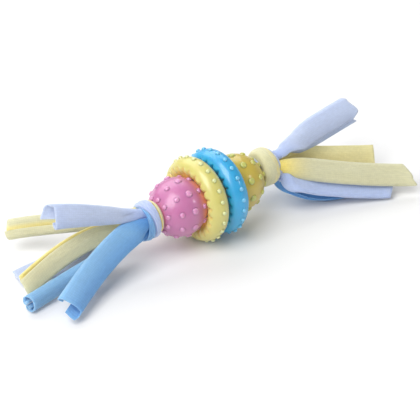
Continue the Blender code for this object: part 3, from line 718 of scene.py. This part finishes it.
class RopeToyAddStrands(bpy.types.Operator):
    """Add the six rolled strands of the rope's core"""
    bl_idname = "rope_toy.add_strands"
    bl_label = "Add strands"

    def execute(self, context):
        sizes = context.scene.rope_toy_cloth
        left = tail_start(LEFT) + ROOT_GAP * MM
        length = tail_start(RIGHT) - ROOT_GAP * MM - left
        flat = (length / MM, math.tau * sizes.strand_radius / MM)
        for index, strand in enumerate(STRANDS):
            def point(along, around):
                centre = polar(sizes.strand_circle, strand_angle(index, along))
                turn = math.tau * around
                off_edge = math.remainder(turn - STRAND_GROOVE_WINDING * along, math.tau)
                groove = STRAND_GROOVE_DEPTH * MM * math.exp(-(off_edge / STRAND_GROOVE_WIDTH) ** 2)
                way = polar(sizes.strand_radius - groove, math.degrees(turn))
                return Vector((left + length * along, MIDDLE.y, MIDDLE.z)) + centre + way

            mesh = grid_mesh("strand_{}_cloth".format(strand), STRAND_ROWS, STRAND_COLUMNS, point,
                             False, True, flat)
            bm = bmesh.new()
            bm.from_mesh(mesh)
            bmesh.ops.holes_fill(bm, edges=[edge for edge in bm.edges if edge.is_boundary], sides=0)
            bm.to_mesh(mesh)
            bm.free()
            turn_outwards(mesh)
            add_rope_piece(mesh, "strand_" + strand, strand.split("_")[0])
        return {"FINISHED"}


class RopeToyAddKnots(bpy.types.Operator):
    """Add the wraps of jersey that make the two knots"""
    bl_idname = "rope_toy.add_knots"
    bl_label = "Add knots"

    def add_wrap(self, wrap, knot, knot_radius, knot_length):
        """One wrap: a crowned band between two tilted edges, with soft folds that run round it."""
        start = tail_start(knot.side) - knot.side * (knot_length + ROOT_GAP * MM)
        half_gap = WRAP_GAP * MM / 2 / knot_length
        fold_painted_lights = []
        fold_count, fold_depth, fold_start, drift = wrap.folds

        def edge_place(edge, around):
            mean, tilt, angle = edge
            place = mean + tilt * math.cos(around - math.radians(angle))
            return min(max(place, 0), 1 if mean == 1 else WRAP_LAST_EDGE)

        def crown_radius(around, along):
            crowned = math.sqrt(max(0, 1 - (2 * along - 1) ** 2))
            flattened = 1 - KNOT_FLATTENING * (1 + math.cos(2 * around)) / 2
            lean = 1 + knot.lean * math.cos(around - math.radians(KNOT_LEAN_ANGLE))
            taper = knot.tapers[along >= 0.5]
            return knot_radius * flattened * lean * (1 - taper * (1 - crowned))

        def fold_height(around, share):
            """Ridges across the wrap that wander as they go round."""
            at = Vector((math.cos(around), math.sin(around), start * KNOT_SEED))
            wander = noise.noise(at * FOLD_WANDER)
            phase = fold_count * (share + drift * wander) * math.tau
            return abs(math.sin(phase / 2)) ** FOLD_POWER

        def point(around_share, section_share):
            around, section = math.tau * around_share, math.tau * section_share
            inner, outer = edge_place(wrap.inner_edge, around), edge_place(wrap.outer_edge, around)
            inner += half_gap if wrap.inner_edge[0] > 0 else 0
            outer -= half_gap if wrap.outer_edge[0] < 1 else 0
            across = signed_power(math.sin(section), WRAP_POWERS[0])
            rise = (1 + signed_power(math.cos(section), WRAP_POWERS[1])) / 2
            along = (inner + outer) / 2 + across * (outer - inner) / 2
            share = (across + 1) / 2
            fold = fold_height(around, share)
            folded = smooth(share, fold_start, fold_start + FOLD_GROWTH) if fold_start else 1
            # Painted shade and glow in the troughs between the folds.
            fold_painted_lights.append(FOLD_PAINTED_LIGHT * folded * (1 - fold))
            ridge = fold_depth * MM * (fold - FOLD_LEVEL) * folded
            ridge += wrap.bulge * MM * (1 - abs(across) ** 3) - WRAP_SINK * MM
            shown = smooth(outer - inner, 0, WRAP_FULL_WIDTH)
            nearness = (1 + math.cos(around - math.radians(KNOT_OVERHANG_ANGLE))) / 2
            overhang = KNOT_LEAST_OVERHANG + (1 - KNOT_LEAST_OVERHANG) * nearness
            length = knot_length + knot.overhang * MM * overhang
            past = along * length - knot_length + MOUTH_DEPTH * MM
            bore = WRAP_BORE * MM + MOUTH_FLARE * max(past, 0)
            height = rise * (WRAP_TUCKED_HEIGHT + (1 - WRAP_TUCKED_HEIGHT) * shown)
            radial = bore + (crown_radius(around, along) - bore) * height
            radial += ridge * shown * smooth(rise, 0.5, 1)
            place = polar(radial, math.degrees(around))
            return Vector((start + knot.side * along * length, MIDDLE.y + place.y, MIDDLE.z + place.z))

        # The section's way round is about three of the wrap's widths.
        width = (wrap.outer_edge[0] - wrap.inner_edge[0]) * knot_length / MM
        mesh = grid_mesh(wrap.name + "_cloth", WRAP_STEPS, WRAP_SECTION_STEPS, point, True, True,
                         (math.tau * knot_radius / MM, 3 * width))
        mark_points(mesh, "fold", fold_painted_lights)
        turn_outwards(mesh)
        add_rope_piece(mesh, wrap.name, wrap.cloth)

    def execute(self, context):
        sizes = context.scene.rope_toy_cloth
        for knot in KNOTS:
            name = side_name(knot.side) + "_knot"
            radius, length = getattr(sizes, name + "_radius"), getattr(sizes, name + "_length")
            for wrap in knot.wraps:
                self.add_wrap(wrap, knot, radius, length)
        return {"FINISHED"}


def curve_at(points, share):
    """Place and direction on a cubic Bezier curve, carried on straight beyond its ends."""
    inside = min(max(share, 0), 1)
    rest = 1 - inside
    start, first, second, end = points
    place = rest ** 3 * start + 3 * rest ** 2 * inside * first
    place += 3 * rest * inside ** 2 * second + inside ** 3 * end
    heading = rest ** 2 * (first - start) + 2 * rest * inside * (second - first)
    heading += inside ** 2 * (end - second)
    place += 3 * heading * (share - inside)
    return place, heading.normalized()


def route_length(points):
    places = [curve_at(points, step / 100)[0] for step in range(101)]
    return sum((after - before).length for before, after in zip(places, places[1:]))


def table_at(table, place, eased=True):
    """Value at a place along a table of (place, value)."""
    for (low, before), (high, after) in zip(table, table[1:]):
        if place <= high:
            share = (place - low) / (high - low)
            return before + (after - before) * (smooth(share) if eased else share)
    return table[-1][1]


def headings(form, face):
    """Direction of the cloth in degrees at the middle of each column, level at its face."""
    total = sum(length for length, _ in form)
    turns = [(0, 0)]
    for length, turn in form:
        place, turned = turns[-1]
        turns.append((place + length / total, turned + turn))
    level = table_at(turns, face / total, False)
    return [table_at(turns, (column + 0.5) / TAIL_COLUMNS, False) - level
            for column in range(TAIL_COLUMNS)]


def root_headings(form):
    """Direction of the cloth where it is rolled up tight, from both edges in."""
    half_turn = math.copysign(TAIL_ROOT_TURN / 2, sum(turn for _, turn in form))
    values = []
    for column in range(TAIL_COLUMNS):
        off = 2 * (column + 0.5) / TAIL_COLUMNS - 1
        values.append(half_turn * off * (1 - TAIL_ROOT_TIGHTENING * (1 - abs(off))))
    return values


def strip_section(root, tip, opened, strip_width):
    """Cross section of the whole strip as (across, out) points, centred on its box."""
    step = strip_width / TAIL_COLUMNS
    across, out = 0, 0
    points = [(across, out)]
    for tight, loose in zip(root, tip):
        bend = math.radians(tight + (loose - tight) * opened)
        across += step * math.cos(bend)
        out -= step * math.sin(bend)
        points.append((across, out))
    middle = [(min(values) + max(values)) / 2 for values in zip(*points)]
    return [(across - middle[0], out - middle[1]) for across, out in points]


def lump_height(height, across, along, column, row, seed):
    """Height of the cloth's lumps at shares of its width and length, so many of them each way."""
    return noise.noise(Vector((across * column, along * row, seed))) * height * MM


class RopeToyAddTails(bpy.types.Operator):
    """Add the twelve loose tails of jersey"""
    bl_idname = "rope_toy.add_tails"
    bl_label = "Add tails"

    def add_tail(self, tail, sizes):
        strand = STRANDS[tail.strand]
        body = "tail_{}_{}".format(side_name(tail.side), strand)
        root_angle = strand_angle(tail.strand, 1 if tail.side == RIGHT else 0)
        root = PIVOTS[body + "_bend"] - polar(TAIL_PIVOT_OFFSET * MM, tail.swing)
        root += polar(TAIL_ROOT_SPREAD * MM, root_angle)
        points = [root]
        for reach, spread, rise in tail.route:
            points.append(Vector((root.x + tail.side * reach * TAIL_REACH * MM,
                                  MIDDLE.y + spread * TAIL_SPREAD * MM,
                                  MIDDLE.z + rise * ROPE_HEIGHT * MM)))
        root_turn = 90 - root_angle if tail.side == RIGHT else root_angle - 90
        turn_change = math.remainder(tail.tip_turn - root_turn, 360)
        length = route_length(points)
        inset = TAIL_INSET * MM / length
        seed = 10 * tail.strand + 3 * tail.side
        tight, loose = root_headings(tail.form), headings(tail.form, tail.face)
        end_speed = 3 * (points[3] - points[2]).length
        fold_painted_lights = []
        sections = {}

        def section_at(share):
            if share not in sections:
                unrolled = 1 - (1 - min(max(share / tail.opened, 0), 1)) ** 2
                sections[share] = strip_section(tight, loose, unrolled, sizes.strip_width)
            return sections[share]

        def point(row, column):
            base = (1 + inset) * row - inset
            across, out = section_at(base)[round(column * TAIL_COLUMNS)]
            cut = table_at(tail.cut, column) * MM / end_speed
            share = base + cut * smooth(base, *TAIL_CUT_RISE)
            place, heading = curve_at(points, share)
            sideways = heading.cross(Vector((0, 0, 1))).normalized()
            upright = sideways.cross(heading)
            turn = math.radians(root_turn + turn_change * smooth(share / tail.turned))
            across_way = sideways * math.cos(turn) + upright * math.sin(turn)
            out_way = upright * math.cos(turn) - sideways * math.sin(turn)
            furrow = lump_height(*FURROWS, column, base, seed) * (FURROWS_AT_ROOT - FURROWS_FADE * base)
            wave = lump_height(*WAVES, column, base, seed + 9)
            out += smooth(base, 0, TAIL_LUMPS_GROWN) * (furrow + wave)
            # Painted shade and glow at the root, and across the tail by its tint table.
            root_painted_light = TAIL_ROOT_PAINTED_LIGHT * (1 - smooth(base, 0, TAIL_ROOT_PAINTED_LIGHT_END))
            fold_painted_lights.append(max(root_painted_light, table_at(tail.tint, column)))
            place += across_way * across + out_way * out
            # Cloth that would sag into the floor lies on it instead.
            over = (place.z - sizes.thickness) / MM
            if over < 10 * FLOOR_EASE:
                eased = math.log1p(math.exp(over / FLOOR_EASE)) * FLOOR_EASE
                place.z = sizes.thickness + eased * MM
            return place

        flat = (length / MM + TAIL_INSET, sizes.strip_width / MM)
        mesh = grid_mesh(body + "_cloth", TAIL_ROWS, TAIL_COLUMNS, point, flat=flat)
        mark_points(mesh, "fold", fold_painted_lights)
        cloth = strand.split("_")[0]
        piece = add_piece(mesh.name, mesh, jersey(cloth))
        solid = piece.modifiers.new("Cloth", "SOLIDIFY")
        solid.thickness = sizes.thickness
        solid.offset = 0
        shown = piece.evaluated_get(bpy.context.evaluated_depsgraph_get())
        piece.data = bpy.data.meshes.new_from_object(shown)
        piece.modifiers.clear()
        bend_end = curve_at(points, TAIL_BEND_SHARE)[0]
        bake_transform(piece)
        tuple(bend_end)
        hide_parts(body)

    def execute(self, context):
        for tail in TAILS:
            self.add_tail(tail, context.scene.rope_toy_cloth)
        return {"FINISHED"}


class RopeToySetStage(bpy.types.Operator):
    """Set the paper floor, the soft lights and the camera"""
    bl_idname = "rope_toy.set_stage"
    bl_label = "Set stage"

    def paper(self, tone):
        """Matt white background paper, coated: even and bright, with the faintest tooth.

        The tooth is drawn 1.1 mm wide, coarser than a real one, so that it shows.
        """
        material, tree, shader = new_material("coated_background_paper")
        place = add_node(tree, "ShaderNodeTexCoord").outputs["Object"]
        tooth = add_node(tree, "ShaderNodeTexNoise",
                         {"Vector": place, "Scale": 1 / (1.11 * MM)}).outputs["Fac"]
        bump = add_node(tree, "ShaderNodeBump",
                        {"Strength": 0.05, "Distance": 0.05 * MM, "Height": tooth})
        feed(tree, shader, {"Base Color": (*tone, 1), "Roughness": 0.9, "Specular IOR Level": 0.1,
                            "Normal": bump.outputs["Normal"]})
        return material

    def aim(self, data, offset):
        """Put a light or a camera at an offset from the toy's middle, turned to it."""
        piece = bpy.data.objects.new(data.name, data)
        piece.location = MIDDLE + offset
        piece.rotation_euler = (-offset).to_track_quat("-Z", "Y").to_euler()
        bpy.context.scene.collection.objects.link(piece)
        return piece

    def execute(self, context):
        scene = context.scene
        sizes = scene.rope_toy_stage
        floor = grid_mesh("paper_floor", 2, 2,
                          lambda row, column: Vector((row - 0.5, column - 0.5, 0)) * FLOOR_WIDTH)
        add_piece("paper_floor", floor, self.paper(sizes.floor))

        for softbox in SOFTBOXES:
            light = bpy.data.lights.new(softbox.name + "_softbox", "AREA")
            light.energy = getattr(sizes, softbox.name + "_power")
            light.shape = "RECTANGLE"
            light.size, light.size_y = softbox.size
            self.aim(light, Vector(softbox.place))

        world = bpy.data.worlds.new("white_surround")
        world.use_nodes = True
        feed(world.node_tree, world.node_tree.nodes["Background"],
             {"Color": (1, 1, 1, 1), "Strength": sizes.surround})
        scene.world = world
        scene.view_settings.view_transform = "Standard"

        level = math.cos(sizes.elevation)
        back = Vector((math.sin(sizes.azimuth) * level, -math.cos(sizes.azimuth) * level,
                       math.sin(sizes.elevation)))
        camera = bpy.data.cameras.new("camera")
        camera.lens = sizes.lens
        camera.shift_x, camera.shift_y = sizes.shift
        scene.camera = self.aim(camera, back * sizes.distance)
        return {"FINISHED"}


OPERATORS = (RopeToySetStage, RopeToyAddBalls, RopeToyAddRings, RopeToyAddStrands, RopeToyAddKnots,
             RopeToyAddTails)


class RopeToyPanel(bpy.types.Panel):
    """Lists the toy's pieces in the sidebar"""
    bl_idname = "VIEW3D_PT_rope_toy"
    bl_label = "Rope toy"
    bl_space_type = "VIEW_3D"
    bl_region_type = "UI"
    bl_category = "Rope toy"

    def draw(self, context):
        for operator in OPERATORS:
            self.layout.operator(operator.bl_idname)


GROUPS = {
    "rope_toy_rubber": RopeToyRubber,
    "rope_toy_cloth": RopeToyCloth,
    "rope_toy_stage": RopeToyStage,
}


def register():
    for item in (*GROUPS.values(), *OPERATORS, RopeToyPanel):
        bpy.utils.register_class(item)
    for name, group in GROUPS.items():
        setattr(bpy.types.Scene, name, bpy.props.PointerProperty(type=group))


def unregister():
    for name in GROUPS:
        delattr(bpy.types.Scene, name)
    for item in (RopeToyPanel, *reversed(OPERATORS), *reversed(GROUPS.values())):
        bpy.utils.unregister_class(item)


def main():
    register()
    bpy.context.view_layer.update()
    bpy.ops.rope_toy.set_stage()
    bpy.ops.rope_toy.add_balls()
    bpy.ops.rope_toy.add_rings()
    bpy.ops.rope_toy.add_strands()
    bpy.ops.rope_toy.add_knots()
    bpy.ops.rope_toy.add_tails()


if __name__ == "__main__":
    main()
